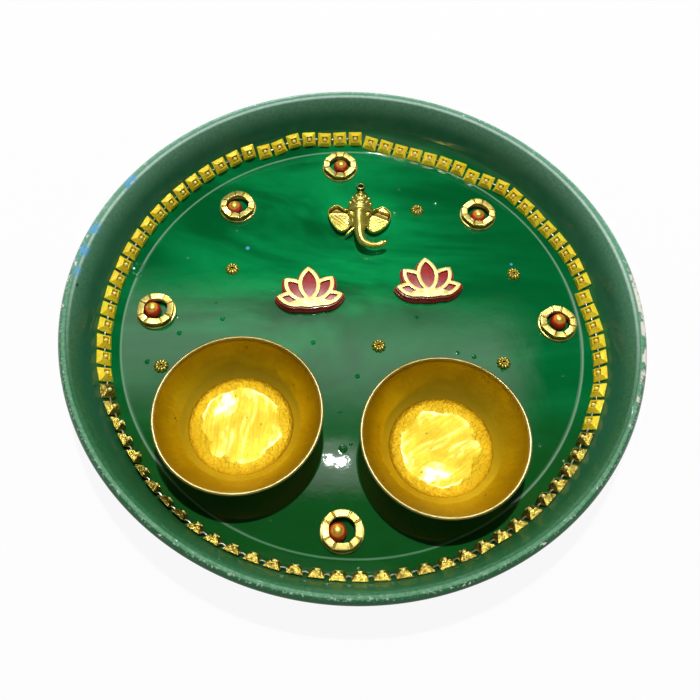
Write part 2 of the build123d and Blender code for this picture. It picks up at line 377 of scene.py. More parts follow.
def varnish_relief(look, height, chips):
    """Slow waves, drops, a fine peel, grains of dust, a rough rim and the edges of the chips."""
    drops = look.near(*MAIN_DROP, 1.0)
    for drop in SMALL_DROPS:
        drops = look.larger(drops, look.times(look.near(*drop, 1.0), 0.5))
    dust = look.sown(150, (0.16, 0.0), 1, (0.72, 0.74))
    rough_rim = look.times(look.noise(1500, 3, 0.6), look.step(height, *ROUGH_FOOT))
    coat = look.bump(look.noise(38, 2, 0.5, 0.3), 0.10)
    for relief, depth in ((drops, 0.7), (look.noise(520, 2, 0.5), 0.006), (dust, 0.2), (rough_rim, 0.18),
                          (look.rest(chips), 0.12)):
        coat = look.bump(relief, depth, coat)
    return coat


def enamel():
    """Green paint under varnish, chipped along the rim, with painted sheen and highlights on the rim and the
    floor's edge and painted shade on the near side.
    """
    look = Look("green_enamel", Coat_Roughness=0.012, Coat_IOR=1.5, Specular_IOR_Level=0.0)
    _, y, height = look.axes()
    reach = look.distance()
    streaks = look.noise(15, 4, 0.55, 1.6, look.place((0.55, 1.5, 1), (0, 0, 0.28)))
    fine = look.noise(160, 5, 0.65)
    paint = floor_paint(look, y, streaks, fine)
    # The wall's paint is thinner and greyer than the floor's, and painted darker on the near side as shade
    wall = look.step(height, *WALL_FOOT)
    near_wall_shade = look.times(wall, look.step(y, *SHADED_NEAR_WALL))
    grey = look.ramp(fine, (0.3, (0.023, 0.114, 0.058)), (0.7, (0.035, 0.143, 0.077)))
    paint = look.mix(wall, paint, grey, 0.85)
    # Painted shade on the near side of the wall
    paint = look.mix(near_wall_shade, paint, (0.016, 0.098, 0.018), 0.75)
    # Painted sheen and painted highlight lines over the rolled rim
    on_rim = look.times(look.step(height, *RIM_FOOT), look.step(reach, *RIM_OUTSIDE))
    paint = look.mix(on_rim, paint, rim_painted_sheen(look, y, reach), 0.9)
    # A pale line painted along the bend at the floor's edge as its highlight, and glints painted along the crest of
    # the rim as highlights
    paint = look.mix(look.band(reach, *BEND_HIGHLIGHT), paint, (0.16, 0.34, 0.19), 0.6)
    glint_flecks = look.step(look.noise(1800, 3, 0.6, 0.0, look.place((0.6, 0.6, 1))), 0.54, 0.66)
    crest_glints = look.times(look.band(reach, *CREST_GLINT_RING), glint_flecks)
    paint = look.mix(crest_glints, paint, (0.66, 0.82, 0.72), 0.6)
    # Specks of dirt under the varnish
    specks = look.sown(75, (0.06, 0.035), 0, (0.80, 0.82))
    paint = look.mix(specks, paint, (0.004, 0.02, 0.01), 0.8)
    paint = look.mix(blue_paint(look, reach), paint, (0.11, 0.42, 0.74), 0.85)
    chips = chipped(look, reach)
    bare_metal = look.ramp(fine, (0.3, (0.72, 0.67, 0.56)), (0.7, (0.88, 0.84, 0.74)))
    look.to("Base Color", look.mix(chips, paint, bare_metal))
    look.to("Roughness", look.ramp(streaks, (0.3, 0.46), (0.7, 0.3)))
    coat = varnish_relief(look, height, chips)
    look.to("Normal", coat)
    look.to("Coat Normal", coat)
    # The varnish is thinner up the wall, thinner still on its near side, and worn off the near bend
    bend = look.times(look.band(reach, *FLOOR_BEND), look.step(y, *NEAR_BEND))
    worn_off = look.larger(bend, look.times(near_wall_shade, 0.55))
    thick = look.ramp(look.times(height, VARNISH_SCALE), (0.15, 1.0), (0.4, 0.55), (0.8, 0.6), (0.9, 1.0))
    look.to("Coat Weight", look.times(thick, look.rest(worn_off)))
    return look.material


# ---- brass ----
# Turn of each bowl about its axis in degrees, so that their marks differ
BOWL_TURNS = {"left_bowl": 0, "right_bowl": 128}


def bowl_marks(look):
    """Mottling, and dark spots of tarnish, that both of a bowl's finishes share."""
    cloud = look.noise(90, 4, 0.6, 0.5)
    spots = look.times(look.step(look.noise(260, 3, 0.7), 0.68, 0.75), 0.7)
    return cloud, spots


def bowl_wall(name, turn):
    """Brass brushed up and down the wall, so its shine spreads round the bowl; its far and near sides are painted
    darker as shade.
    """
    look = Look(name, Anisotropic=0.75)
    look.to("Tangent", look.add("ShaderNodeTangent", direction_type="RADIAL", axis="Z").outputs[0])
    x, y, height = look.axes()
    around, upward = look.times(look.math("ARCTAN2", y, x), 9.0), look.times(height, 12.0)
    fibres = look.add("ShaderNodeCombineXYZ", {0: around, 2: upward})
    brushed = look.noise(14, 4, 0.7, 0.0, fibres.outputs[0])
    cloud, spots = bowl_marks(look)
    colour = look.ramp(cloud, (0.3, (0.80, 0.58, 0.015)), (0.55, (0.94, 0.71, 0.023)), (0.75, (1.0, 0.80, 0.046)))
    lines = look.ramp(brushed, (0.36, 0.0), (0.66, 1.0))
    colour = look.mix(lines, colour, (0.43, 0.285, 0.010), 0.5)
    # Darker towards the top, smudged low down and rubbed bare along the lip
    colour = look.mix(look.step(height, 0.0045, 0.0125), colour, (0.36, 0.245, 0.007), 0.5)
    smudge = look.times(look.step(height, 0.006, 0.0025), look.step(look.noise(150, 4, 0.65), 0.56, 0.72))
    colour = look.mix(smudge, colour, (0.26, 0.14, 0.008), 0.5)
    bare = look.times(look.step(height, 0.0130, 0.0136), look.ramp(cloud, (0.3, 0.45), (0.7, 0.95)))
    colour = look.mix(bare, colour, (0.96, 0.84, 0.48))
    foot = look.step(height, 0.0056, 0.0026)
    colour = look.mix(foot, colour, (1.0, 0.70, 0.022), 0.9)
    # Painted shade: darker on the bowl's far and near sides, whichever way the bowl is turned
    north = look.parts(look.place(turn=(0, 0, math.radians(turn))))[1]
    colour = look.mix(look.step(north, 0.004, 0.024), colour, (0.27, 0.18, 0.006), 0.7)
    colour = look.mix(look.step(north, -0.008, -0.025), colour, (0.38, 0.26, 0.010), 0.45)
    look.to("Base Color", look.mix(spots, colour, (0.12, 0.06, 0.01)))
    look.to("Roughness", look.mix(foot, look.ramp(cloud, (0.3, 0.50), (0.7, 0.40)), (0.62, 0.62, 0.62)))
    look.to("Metallic", look.rest(look.times(foot, 0.16)))
    look.to("Normal", look.bump(cloud, 0.2, look.bump(brushed, 0.05)))
    return look.material


def bowl_bottom():
    """The bottom's pebbled brass, with a thin puddle of dried lacquer over most of it, pale streaks painted on as
    highlights, and painted shade towards its edge.
    """
    look = Look("bowl_brass_bottom", Metallic=1.0)
    reach = look.distance()
    cloud, spots = bowl_marks(look)
    far = look.times(look.distance(-0.5, 1.2), 36.0)
    edge = look.math("SUBTRACT", look.times(look.noise(95, 3, 0.55, 0.5), 0.9), far)
    edge = look.math("SUBTRACT", edge, look.times(look.step(reach, 0.0125, 0.0165), 0.4))
    puddle = look.step(edge, -0.11, -0.01)
    # Pale streaks painted on as highlights: a fringe along the puddle's edge and wisps within it
    fringe = look.band(edge, (-0.07, -0.03), (0.05, -0.02))
    fringe = look.times(fringe, look.step(look.noise(85, 2, 0.5), 0.48, 0.66))
    wisps = look.step(look.noise(110, 3, 0.6, 0.8, look.place((1, 0.4, 1), (0, 0, 0.3))), 0.47, 0.66)
    shine = look.larger(look.times(fringe, 0.9), look.times(wisps, puddle))
    outside = look.ramp(cloud, (0.3, (0.58, 0.38, 0.013)), (0.7, (0.72, 0.49, 0.03)))
    inside = look.ramp(cloud, (0.3, (0.57, 0.42, 0.028)), (0.7, (0.69, 0.54, 0.065)))
    colour = look.mix(shine, look.mix(puddle, outside, inside), (0.86, 0.77, 0.36))
    brushed = look.noise(1, 3, 0.6, 0.0, look.place((1500, 120, 120), (0, 0, 0.1)))
    colour = look.mix(look.step(brushed, 0.62, 0.42), colour, look.mix(0.35, colour, (0.43, 0.29, 0.013)))
    # Painted shade in the corner: darker and more orange towards the edge where the bottom meets the wall
    colour = look.mix(look.step(reach, 0.0138, 0.0170), colour, (0.55, 0.31, 0.007), 0.75)
    look.to("Base Color", look.mix(spots, colour, (0.16, 0.08, 0.01)))
    dull = look.mix(puddle, look.ramp(cloud, (0.3, 0.64), (0.7, 0.57)), look.ramp(cloud, (0.3, 0.62), (0.7, 0.55)))
    look.to("Roughness", look.mix(shine, dull, (0.40, 0.40, 0.40), 0.8))
    pebble = look.times(look.noise(1000, 2, 0.5, 0.4), look.math("SUBTRACT", 1.15, puddle))
    wrinkles = look.noise(330, 3, 0.6, 0.8, look.place((1, 0.5, 1), (0, 0, 0.7)))
    normal = look.bump(pebble, 0.28)
    for relief, depth in ((wrinkles, 0.14), (puddle, 0.14), (brushed, 0.012)):
        normal = look.bump(relief, depth, normal)
    look.to("Normal", normal)
    return look.material


# ---- gilt, red and wire ----
HOLLOW_REACH = 1.1 * MM
HOLLOW_GAIN = 1.6
HOLLOW_TONE = 0.12


def gilt(name, low, high, rough, grain=900.0, depth=0.02, dirt_and_shade=0.35, shaded_band=None, metal=1.0, shine=0.5, mottle=420.0,
         pit=None):
    """Gilt with a mottled tone, fine grain, and grime with painted shade in its hollows.

    The hollows are dark, or of the colour pit. A band of heights in millimetres, if given, is darker all round as
    painted shade.
    """
    look = Look(name, Metallic=metal, Specular_IOR_Level=shine)
    cloud = look.noise(mottle, 4, 0.6)
    colour = look.ramp(cloud, (0.32, low), (0.68, high))
    # Dirt and painted shade in the hollows, found by ambient occlusion
    shade = look.add("ShaderNodeAmbientOcclusion", {"Distance": HOLLOW_REACH}, samples=8, only_local=True)
    hollow_dirt_and_shade = look.math("MULTIPLY", look.rest(shade.outputs["AO"]), dirt_and_shade * HOLLOW_GAIN, clamp=True)
    colour = look.mix(hollow_dirt_and_shade, colour, pit or tuple(c * HOLLOW_TONE for c in low))
    # Painted shade, darker all round over a band of heights
    if shaded_band:
        band_shade = look.band(look.axes()[2], *([edge * MM for edge in pair] for pair in shaded_band))
        colour = look.mix(band_shade, colour, (0.10, 0.055, 0.008), 0.85)
    look.to("Base Color", colour)
    look.to("Roughness", look.ramp(cloud, (0.3, rough[0]), (0.7, rough[1])))
    look.to("Normal", look.bump(look.noise(grain, 3, 0.6), depth))
    return look.material


def red_gloss(name, low, high, tone_blend=None):
    """Glossy red; rubbed is a step over the height in millimetres, above which gilt shows through."""
    look = Look(name, Coat_Weight=0.6, Coat_Roughness=0.04)
    cloud = look.noise(500, 4, 0.6)
    colour = look.ramp(cloud, (0.3, low), (0.7, high))
    if tone_blend:
        top = look.step(look.axes()[2], tone_blend[0] * MM, tone_blend[1] * MM)
        colour = look.mix(top, colour, (0.92, 0.42, 0.04), 0.75)
    look.to("Base Color", colour)
    look.to("Roughness", look.ramp(cloud, (0.3, 0.38), (0.7, 0.24)))
    look.to("Normal", look.bump(look.noise(700, 3, 0.5), 0.03))
    return look.material


def bright_wire():
    look = Look("bright_wire", Metallic=1.0)
    cloud = look.noise(900, 3, 0.6)
    look.to("Base Color", look.ramp(cloud, (0.3, (0.40, 0.37, 0.29)), (0.7, (0.60, 0.57, 0.49))))
    look.to("Roughness", look.ramp(cloud, (0.3, 0.48), (0.7, 0.36)))
    look.to("Normal", look.bump(cloud, 0.015))
    return look.material


ENAMEL = enamel()
BOWL_WALLS = {name: bowl_wall(f"{name}_brass_wall", turn) for name, turn in BOWL_TURNS.items()}
BOWL_BOTTOM = bowl_bottom()
CHAIN = gilt("chain_gilt", (0.97, 0.63, 0.010), (1.0, 0.88, 0.05), (0.38, 0.26), grain=1200.0, depth=0.26, dirt_and_shade=1.0,
             metal=0.12, shine=0.35, pit=(0.42, 0.19, 0.004))
# A darker, more metallic copy of the chain's gilt, as painted shade on the cups along the near side
SHADED_NEAR_GILT = gilt("chain_gilt_near_shaded", (0.07, 0.038, 0.003), (0.80, 0.62, 0.11), (0.36, 0.24), grain=1300.0, depth=0.36,
            dirt_and_shade=1.0, metal=0.92, shine=0.3, mottle=900.0)
STUD = gilt("stud_gilt", (1.0, 0.86, 0.16), (1.0, 0.95, 0.42), (0.36, 0.26), dirt_and_shade=0.1, metal=0.15)
RING = gilt("ring_gilt", (0.57, 0.42, 0.055), (0.95, 0.83, 0.28), (0.40, 0.30), grain=1100.0, depth=0.06, dirt_and_shade=0.5,
            shaded_band=((0.85, 1.0), (2.05, 1.75)), metal=0.85)
TIP = gilt("tip_gilt", (0.86, 0.50, 0.05), (0.98, 0.70, 0.16), (0.40, 0.30), dirt_and_shade=0.0, metal=0.75)
FLOWER = gilt("flower_gilt", (0.52, 0.40, 0.04), (0.82, 0.68, 0.17), (0.45, 0.34), dirt_and_shade=0.75)
FACE = gilt("ornament_gilt", (0.50, 0.40, 0.13), (0.72, 0.59, 0.26), (0.58, 0.46))
CHARM = gilt("charm_cast", (0.58, 0.47, 0.07), (0.92, 0.80, 0.22), (0.40, 0.29), grain=700.0, depth=0.03, dirt_and_shade=0.85,
             shaded_band=((-2, -1), (1.65, 1.15)))
BEAD = red_gloss("bead_red", (0.40, 0.008, 0.002), (0.64, 0.030, 0.004), (2.7, 3.4))
RED = red_gloss("ornament_red", (0.25, 0.003, 0.002), (0.46, 0.009, 0.005))
WIRE = bright_wire()


# ---- tray ----
# A tight bend at the floor's edge and a flatter band for the chain, within half a millimetre of the plain cove
BEND_RUN, BEND_STEPS = 2.6, 26
BAND_RUN, BAND_STEPS = 3.4, 18
BAND_START = 1.2
BAND_SLOPE = 0.42
BEND_SOFTNESS = 0.05
BAND_END_ANGLE = -49
RIM_END_ANGLE = -143.5


def tray():
    slope = math.radians(WALL_SLOPE)
    cove_centre = (FLOOR_RADIUS, FLOOR_TOP + COVE_RADIUS)
    runs = [BEND_RUN * i / BEND_STEPS for i in range(BEND_STEPS)]
    runs += [BEND_RUN + BAND_RUN * i / BAND_STEPS for i in range(BAND_STEPS)]
    cove = []
    for run in runs:
        r = FLOOR_RADIUS + run
        plain = FLOOR_TOP + COVE_RADIUS - math.sqrt(COVE_RADIUS ** 2 - (r - FLOOR_RADIUS) ** 2)
        band = FLOOR_TOP + BAND_SLOPE * (r - FLOOR_RADIUS - BAND_START)
        cove.append((r, (plain + band + math.hypot(plain - band, BEND_SOFTNESS)) / 2))
    cove += arc(cove_centre, COVE_RADIUS, BAND_END_ANGLE, -90 + WALL_SLOPE, 14)
    wall_end = (RIM_CENTRE[0] - RIM_RADIUS * math.sin(slope), RIM_CENTRE[1] + RIM_RADIUS * math.cos(slope))
    rim = arc(RIM_CENTRE, RIM_RADIUS, 90 + WALL_SLOPE, RIM_END_ANGLE, 30)
    outer = arc(cove_centre, COVE_RADIUS + SHEET, -90 + WALL_SLOPE, -90, 20)
    profile = [(0, FLOOR_TOP)] + line((0, FLOOR_TOP), (FLOOR_RADIUS, FLOOR_TOP), 20)
    profile += cove + line(cove[-1], wall_end, 8) + rim + line(rim[-1], outer[0], 8) + outer
    profile += line((FLOOR_RADIUS, 0), (0, 0), 8) + [(0, 0)]
    shell = skin([circle(r, z, 288) for r, z in profile])
    piece("tray_shell", [shell], ENAMEL, ["plate"], sharp=50)


tray()


# ---- bowls ----
# Radius and height in millimetres of the foot and the top of the wall, inside and outside
BOWL_INSIDE = ((17.6, 1.6), (26.55, 13.3))
BOWL_OUTSIDE = ((18.0, 0.0), (27.75, 13.3))
BOWL_FLOOR = 1.6
BOWL_KICK = 0.7
WALL_BOW = 0.7
WALL_STEPS = 16
LIP_CENTRE, LIP_RADIUS = (27.15, 13.45), 0.6
# The lacquered bottom: lowest and highest middle of its faces, and its radius, in millimetres
BOTTOM_HEIGHTS, BOTTOM_RADIUS = (1.5, 2.0), 17.3


def bowed(wall, t, lean):
    """Point at the share t of a wall that bulges along lean."""
    foot, top = wall
    lift = 4 * t * (1 - t) * WALL_BOW
    return (foot[0] + (top[0] - foot[0]) * t + lift * lean[0], foot[1] + (top[1] - foot[1]) * t - lift * lean[1])


def bowls():
    profile = [(0, BOWL_FLOOR)] + line((0, BOWL_FLOOR), (15.9, BOWL_FLOOR), 8)
    profile += [(15.9, BOWL_FLOOR), (16.8, 1.75), (17.6, 2.15), (18.15, 2.9)]
    profile += [bowed(BOWL_INSIDE, step / WALL_STEPS, (0.79, 0.61)) for step in range(3, WALL_STEPS + 1)]
    profile += arc(LIP_CENTRE, LIP_RADIUS, 180, 0, 10)[1:]
    profile += [bowed(BOWL_OUTSIDE, 1 - step / WALL_STEPS, (0.81, 0.58)) for step in range(1, WALL_STEPS + 1)]
    profile += [(15.2, 0.0), (14.7, 0.12), (14.0, BOWL_KICK)]
    profile += line((14.0, BOWL_KICK), (0, BOWL_KICK), 5) + [(0, BOWL_KICK)]
    shell = skin([circle(r, z, 160) for r, z in profile])
    for name, turn in BOWL_TURNS.items():
        obj = piece(f"{name}_spun", [shell], BOWL_WALLS[name], [name], f"{name}_body",
                    base_of(name), turn, 50)
        obj.data.materials.append(BOWL_BOTTOM)
        for face in obj.data.polygons:
            x, y, z = face.center / MM
            if BOTTOM_HEIGHTS[0] < z < BOTTOM_HEIGHTS[1] and math.hypot(x, y) < BOTTOM_RADIUS:
                face.material_index = 1


bowls()


# ---- chain ----
# Angle round the tray, in degrees, from which the cups of each length are counted
START = {"right_chain": 10, "top_right_chain": 58, "top_left_chain": 88, "left_chain": 116, "front_chain": 218}
# Range of angles whose cups take a darker, more metallic copy of the gilt as painted shade, and those over which
# the cups lean in and stand up again
SHADED_NEAR_ARC = (200.0, 338.0)
LEAN_IN, LEAN_OUT = (204, 214), (246, 232)
LEAN = 24
LOOSE_LEAN, LOOSE_TURN = 4, 5
CUP_EDGE = (5.0 * MM, 6.0 * MM)
WIRE_RADIUS = 0.26
WIRE_HUMP = 0.22
WIRE_END = (2.35, 0.5)
# Half width, height and corner of a cup's loops, and radius and height of a stud's
CUP_SECTION = ((2.6, 0.0, 0.2), (2.7, 0.08, 0.22), (2.7, 0.24, 0.22), (2.6, 0.38, 0.22), (1.42, 1.76, 0.22),
               (1.32, 1.87, 0.22), (1.22, 1.87, 0.2), (1.14, 1.74, 0.2), (1.02, 1.0, 0.3), (0.5, 0.9, 0.3))
STUD_SECTION = ((0.45, 0.92), (0.68, 1.1), (0.7, 1.4), (0.64, 1.78), (0.48, 2.04), (0.26, 2.16), (0, 2.19))
draw = random.Random(7)


def solids(node):
    """Each loose solid of a node, as a list of its faces: normal, area and points."""
    work = bmesh.new()
    work.from_mesh(nodes[node].data)
    bmesh.ops.remove_doubles(work, verts=work.verts, dist=1e-7)
    left = set(work.verts)
    found = []
    while left:
        group, queue = set(), [left.pop()]
        while queue:
            vert = queue.pop()
            group.add(vert)
            for edge in vert.link_edges:
                other = edge.other_vert(vert)
                if other in left:
                    left.discard(other)
                    queue.append(other)
        faces = {face for vert in group for face in vert.link_faces}
        found.append([(f.normal.copy(), f.calc_area(), [v.co.copy() for v in f.verts]) for f in faces])
    work.free()
    return found


def seat(faces):
    """Frame of a cup from its solid: on its base, x along the chain and z off the cove, in millimetres."""
    sides = []
    for normal, area, points in faces:
        for entry in sides:
            if entry[0].dot(normal) > 0.999:
                entry[1] += area
                entry[2].extend(points)
                break
        else:
            sides.append([normal, area, list(points)])
    normal, _, points = max(sides, key=lambda entry: entry[1])
    facing = -normal
    corners = []
    for point in points:
        if all((point - other).length > 1e-5 for other in corners):
            corners.append(point)
    middle = sum(corners, Vector()) / len(corners)
    around = Vector((-middle.y, middle.x, 0)).normalized()
    edges = [(a - b).normalized() for a in corners for b in corners if CUP_EDGE[0] < (a - b).length < CUP_EDGE[1]]
    along = max(edges, key=lambda edge: edge.dot(around))
    across = facing.cross(along)
    matrix = Matrix((along, across, facing)).transposed().to_4x4()
    matrix.translation = middle / MM
    return matrix


def square(half, height, corner, count=3):
    """A square loop with rounded corners."""
    loop = []
    for turn in turns(4):
        for i in range(count + 1):
            angle = math.pi / 2 * i / count
            x, y = half - corner + corner * math.cos(angle), half - corner + corner * math.sin(angle)
            loop.append((x * math.cos(turn) - y * math.sin(turn), x * math.sin(turn) + y * math.cos(turn), height))
    return loop


CUP = [square(*row) for row in CUP_SECTION]
STUD_DOME = [circle(radius, height, 14) for radius, height in STUD_SECTION]


def bearing(matrix):
    """Angle of a cup round the tray, in degrees from the right."""
    return math.degrees(math.atan2(matrix.translation.y, matrix.translation.x)) % 360


def wire(here, there):
    """The slightly humped wire between two cups."""
    start, end = here @ Vector((WIRE_END[0], 0, WIRE_END[1])), there @ Vector((-WIRE_END[0], 0, WIRE_END[1]))
    run = end - start
    up = (here.to_3x3() @ Vector((0, 0, 1)) + there.to_3x3() @ Vector((0, 0, 1))).normalized()
    side = run.cross(up).normalized()
    loops = []
    for i in range(7):
        t = i / 6
        middle = start + run * t + up * (WIRE_HUMP * math.sin(math.pi * t))
        loops.append(hoop(middle, side, up, WIRE_RADIUS, 8))
    return skin(loops)


def chain(name):
    seats = [seat(faces) for faces in solids(f"{name}_cups")]
    seats.sort(key=lambda matrix: (bearing(matrix) - START[name]) % 360)
    for matrix in seats:
        angle = bearing(matrix)
        lean = LEAN * smooth_step(*LEAN_IN, angle) * smooth_step(*LEAN_OUT, angle)
        lean += draw.uniform(-LOOSE_LEAN, LOOSE_LEAN)
        matrix @= Matrix.Rotation(math.radians(-lean), 4, "X")
        matrix @= Matrix.Rotation(math.radians(draw.uniform(-LOOSE_TURN, LOOSE_TURN)), 4, "Z")
    cups = [placed(CUP, matrix) for matrix in seats]
    row = piece(f"{name}_cup_row", cups, CHAIN, [f"{name}_cups"], sharp=30)
    row.data.materials.append(SHADED_NEAR_GILT)
    faces_per_cup = len(row.data.polygons) // len(seats)
    for face in row.data.polygons:
        angle = bearing(seats[face.index // faces_per_cup])
        face.material_index = int(SHADED_NEAR_ARC[0] < angle < SHADED_NEAR_ARC[1])
    studs = [placed(STUD_DOME, matrix) for matrix in seats]
    piece(f"{name}_stud_row", studs, STUD, [f"{name}_studs"])
    wires = [wire(here, there) for here, there in zip(seats, seats[1:])]
    piece(f"{name}_wire_row", wires, WIRE, [f"{name}_wires"])


for chain_name in START:
    chain(chain_name)


# ---- round settings ----
LONG_BLOCK = math.radians(55)
GROOVE_EDGES = (0.075, 0.005)
GROOVE_DEPTH = 0.5
RIB_COUNT, RIB_DEPTH = 96, 0.05
BLOCK_TILT = 0.09
CROWN_MIDDLE = 5.6
CROWN_DROP = 0.09
# Turn of each setting's blocks in degrees
SETTINGS = {"top": 22, "upper_left": 17, "left": -24, "upper_right": 17, "right": 20, "bottom": -22}
# Radius, height and share of the crown's shape, from the foot round the outside and down the inside
SETTING_SECTION = (
    (5.9, 0.0, 0), (7.05, 0.0, 0), (7.2, 0.12, 0), (7.22, 0.4, 0), (7.1, 0.66, 0), (6.85, 0.78, 0),
    (6.4, 0.72, 0), (6.1, 0.8, 0), (6.1, 1.6, 0), (6.4, 1.85, 0.5), (6.7, 2.0, 1), (6.8, 2.12, 1),
    (6.8, 2.74, 1), (6.76, 2.84, 1), (6.66, 2.89, 1), (6.52, 2.9, 1), (5.6, 2.9, 1), (4.66, 2.9, 1),
    (4.52, 2.89, 1), (4.42, 2.83, 1), (4.38, 2.72, 1), (4.38, 2.1, 1), (4.6, 1.9, 0.5), (5.0, 1.7, 0),
    (5.0, 0.8, 0), (4.9, 0.6, 0), (4.62, 0.5, 0), (4.62, 0.2, 0), (4.95, 0.0, 0))
BEAD_RADIUS, BEAD_CENTRE = 3.0, 0.85
BEAD_START, BEAD_END = -16.4, 63
CAP_RADIUS, CAP_BASE, CAP_RISE = 1.62, 3.26, 0.72


def bar_shape(angle, turn):
    """Outline factor and groove depth of a setting's crown of four long blocks and four short ones."""
    quarter = (angle - turn) % (math.pi / 2)
    if quarter < LONG_BLOCK:
        half, off = LONG_BLOCK / 2, abs(quarter - LONG_BLOCK / 2)
    else:
        half, off = (math.pi / 2 - LONG_BLOCK) / 2, abs(quarter - math.pi / 4 - LONG_BLOCK / 2)
    straight = 1 - 0.5 * (1 - math.cos(half) / math.cos(off))
    return straight, smooth_step(half - GROOVE_EDGES[0], half - GROOVE_EDGES[1], off)


def crown(level, radius, turn, tilts):
    """Shape of a loop of the crown: grooves between the blocks, fine ribs over them and each block's own tilt."""
    def shape(angle):
        straight, groove = bar_shape(angle, turn)
        ribs = 0.5 + 0.5 * math.cos(angle * RIB_COUNT)
        quarter, rest = divmod((angle - turn) % (2 * math.pi), math.pi / 2)
        tilt = tilts[int(quarter) * 2 + (rest > LONG_BLOCK)] * (radius - CROWN_MIDDLE)
        rise = -GROOVE_DEPTH * groove - RIB_DEPTH * ribs * (1 - groove) + tilt - CROWN_DROP
        return 1 - level * (1 - straight), level * rise
    return shape


def settings():
    bead_angles = [math.radians(BEAD_START + (BEAD_END - BEAD_START) * i / 12) for i in range(13)]
    bead = [circle(BEAD_RADIUS * math.cos(a), BEAD_CENTRE + BEAD_RADIUS * math.sin(a), 40) for a in bead_angles]
    cap = [circle(1.45, 3.05, 32), circle(CAP_RADIUS, 3.12, 32)]
    for i in range(11):
        a = math.radians(9 * i)
        cap.append(circle(CAP_RADIUS * math.cos(a), CAP_BASE + CAP_RISE * math.sin(a), 32))
    for place, turn in SETTINGS.items():
        tilts = [draw.uniform(-BLOCK_TILT, BLOCK_TILT) for _ in range(8)]
        loops = [circle(r, z, 384, crown(level, r, math.radians(turn), tilts) if level else None)
                 for r, z, level in SETTING_SECTION]
        piece(f"{place}_setting", [skin(loops, closed=True)], RING, [f"{place}_ring"],
              origin=base_of(f"{place}_ring"), sharp=45)
        centre = base_of(f"{place}_bead")
        piece(f"{place}_red_bead", [skin(bead)], BEAD, [f"{place}_bead"], origin=centre)
        piece(f"{place}_gold_tip", [skin(cap)], TIP, [f"{place}_bead_tip"], origin=centre)


settings()


# ---- flower studs ----
PETALS = 10
# Radius, height, and depth and rise of the petals, from the foot over the top into the pierced middle
FLOWER_SECTION = (
    (2.0, 0, 0, 0), (2.62, 0.0, 0.16, 0), (2.64, 0.25, 0.18, 0), (2.45, 0.62, 0.2, 0.1), (2.1, 0.92, 0.12, 0.26),
    (1.6, 1.12, 0.05, 0.34), (1.22, 1.08, 0, 0.2), (1.0, 0.98, 0, 0), (0.86, 1.18, 0, 0), (0.68, 1.26, 0, 0),
    (0.52, 1.18, 0, 0), (0.44, 0.8, 0, 0), (0.4, 0.4, 0, 0), (0, 0.35, 0, 0))


def scallop(depth, rise):
    def shape(angle):
        lobe = abs(math.cos(angle * PETALS / 2)) ** 0.7
        return 1 - depth * (1 - lobe), rise * (lobe - 0.5)
    return shape


def flowers():
    shell = skin([circle(r, z, 120, scallop(depth, rise)) for r, z, depth, rise in FLOWER_SECTION])
    for place in ("upper_left", "lower_left", "upper_right", "right", "lower_right", "centre"):
        piece(f"{place}_flower_cap", [shell], FLOWER, [f"{place}_flower"],
              origin=base_of(f"{place}_flower"), sharp=50)


flowers()


# ---- lotus ornaments ----
BASE_ROUNDING = 0.22
FACE_ROUNDING = 0.16
# Edges lower than this stay sharp, in metres
ROUNDED_ABOVE = 1.2 * MM


def rounded(node, name, material, width):
    """A copy of a CAD node's solid with its sharp edges rounded."""
    work = bmesh.new()
    work.from_mesh(nodes[node].data)
    bmesh.ops.remove_doubles(work, verts=work.verts, dist=2e-6)
    bmesh.ops.dissolve_limit(work, angle_limit=math.radians(2), verts=work.verts, edges=work.edges)
    sharp = [e for e in work.edges if len(e.link_faces) == 2 and e.calc_face_angle(0) > math.radians(40)
             and min(v.co.z for v in e.verts) > ROUNDED_ABOVE]
    bmesh.ops.bevel(work, geom=sharp, offset=width * MM, segments=3, profile=0.5, affect="EDGES",
                    clamp_overlap=True)
    bmesh.ops.triangulate(work, faces=[f for f in work.faces if len(f.verts) > 4])
    verts = [tuple(v.co / MM) for v in work.verts]
    work.verts.index_update()
    faces = [tuple(v.index for v in f.verts) for f in work.faces]
    work.free()
    piece(name, [(verts, faces)], material, [node], sharp=35)


for side_name in ("left", "right"):
    rounded(f"{side_name}_lotus_body", f"{side_name}_lotus_base", RED, BASE_ROUNDING)
    rounded(f"{side_name}_lotus_face", f"{side_name}_lotus_gilding", FACE, FACE_ROUNDING)


# ---- elephant-head charm ----
# All in millimetres from the middle of the head, on the tray's floor
CHARM_MIDDLE = (12.6, 15.56)
LEFT_EAR = ((-3.3, 2.1), (-6.3, 3.3), (-9.5, 4.9), (-12.5, 2.0), (-11.8, -1.7), (-9.7, -5.5), (-6.8, -7.7),
            (-3.5, -5.7))
RIGHT_EAR = ((3.3, 2.5), (5.8, 4.0), (9.2, 5.6), (12.3, 2.9), (12.1, -0.8), (10.2, -4.4), (6.6, -7.0), (3.1, -5.4))
# Share of the outline and height, from the ear's back over its raised rim
EAR_RIM = ((0.86, 0.5), (0.97, 0.8), (1.0, 1.3), (1.0, 2.0), (0.985, 2.55), (0.95, 2.75), (0.91, 2.55), (0.88, 2.2))
EAR_PANEL_SHARE = 0.86
# Points of x, y, z and radius
TRUNK = ((0.0, 1.4, 2.0, 2.9), (0.1, -2.2, 3.5, 2.5), (0.3, -6.3, 4.5, 2.1), (0.7, -10.3, 4.4, 1.8),
         (2.1, -13.1, 4.0, 1.55), (5.1, -14.3, 3.7, 1.25), (7.9, -14.0, 3.6, 1.05), (9.7, -13.2, 3.75, 1.1),
         (10.5, -12.8, 3.85, 0.75))
TUSK = ((-1.6, -5.8, 2.6, 0.75), (-3.0, -7.4, 2.5, 0.6), (-4.2, -8.8, 2.3, 0.42), (-4.9, -9.6, 2.2, 0.16))
